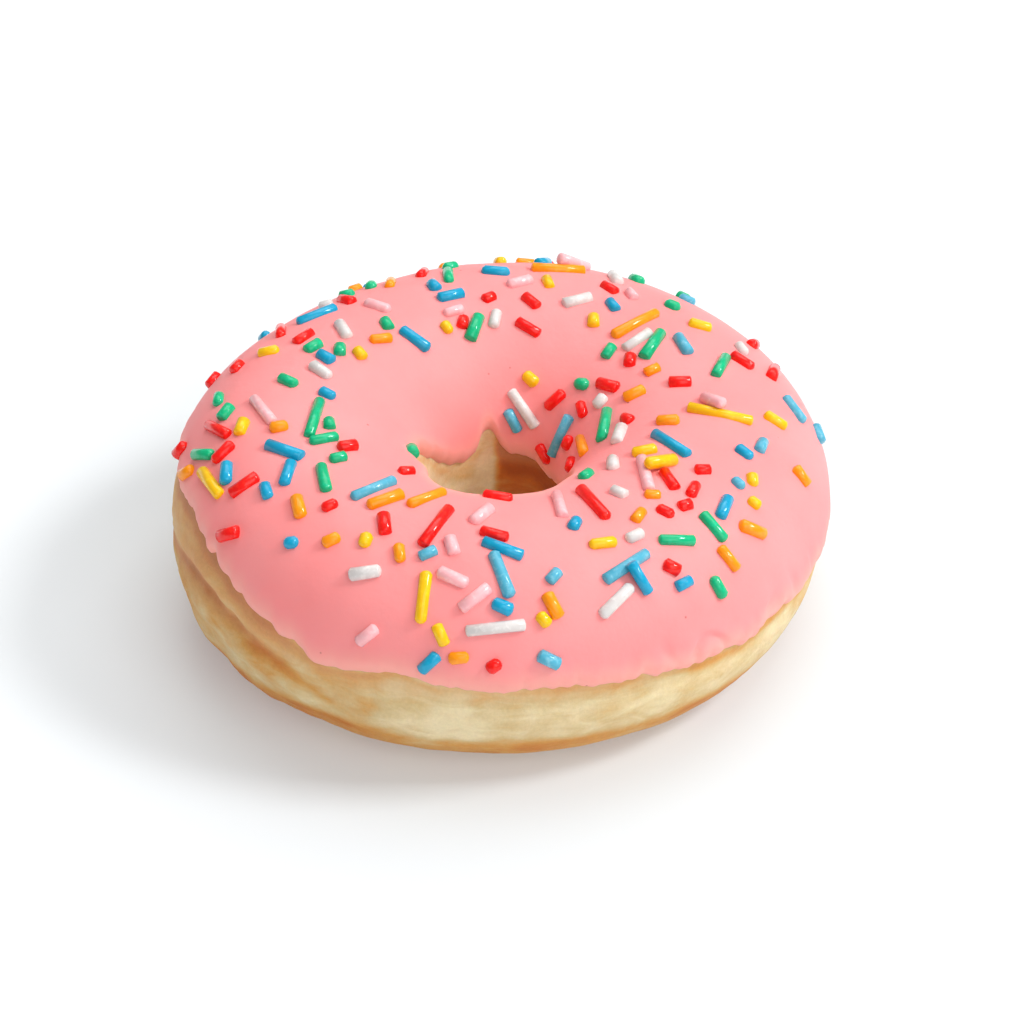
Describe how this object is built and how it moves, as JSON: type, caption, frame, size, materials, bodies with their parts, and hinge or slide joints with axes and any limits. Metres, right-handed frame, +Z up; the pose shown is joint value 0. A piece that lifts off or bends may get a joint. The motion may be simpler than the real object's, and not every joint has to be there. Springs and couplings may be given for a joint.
{
  "type": "sprinkle frosted doughnut",
  "caption": "Yeast ring doughnut with a pale fried side, a thin uneven coat of pink icing over the top and into the hole, and short coloured sugar strands scattered on it.",
  "frame": {"origin": "under the middle of the doughnut, on the surface it rests on", "axes": "+Z up out of the icing, +X towards the lower side of the ring, where the icing reaches farthest down outside, -Y towards the side where the icing ends at the rim of the hole"},
  "size_m": [0.0926, 0.092, 0.036],
  "materials": {
    "fried_dough": "soft fried yeast dough, pale cream sides, golden to brown near the base and in the hole",
    "pink_icing": "set pink sugar icing with a satin sheen, carrying strands in blue, green, yellow, orange, red, white and pink"
  },
  "bodies": {
    "root": {"dough": "fried_dough", "icing": "pink_icing"}
  },
  "joints": []
}
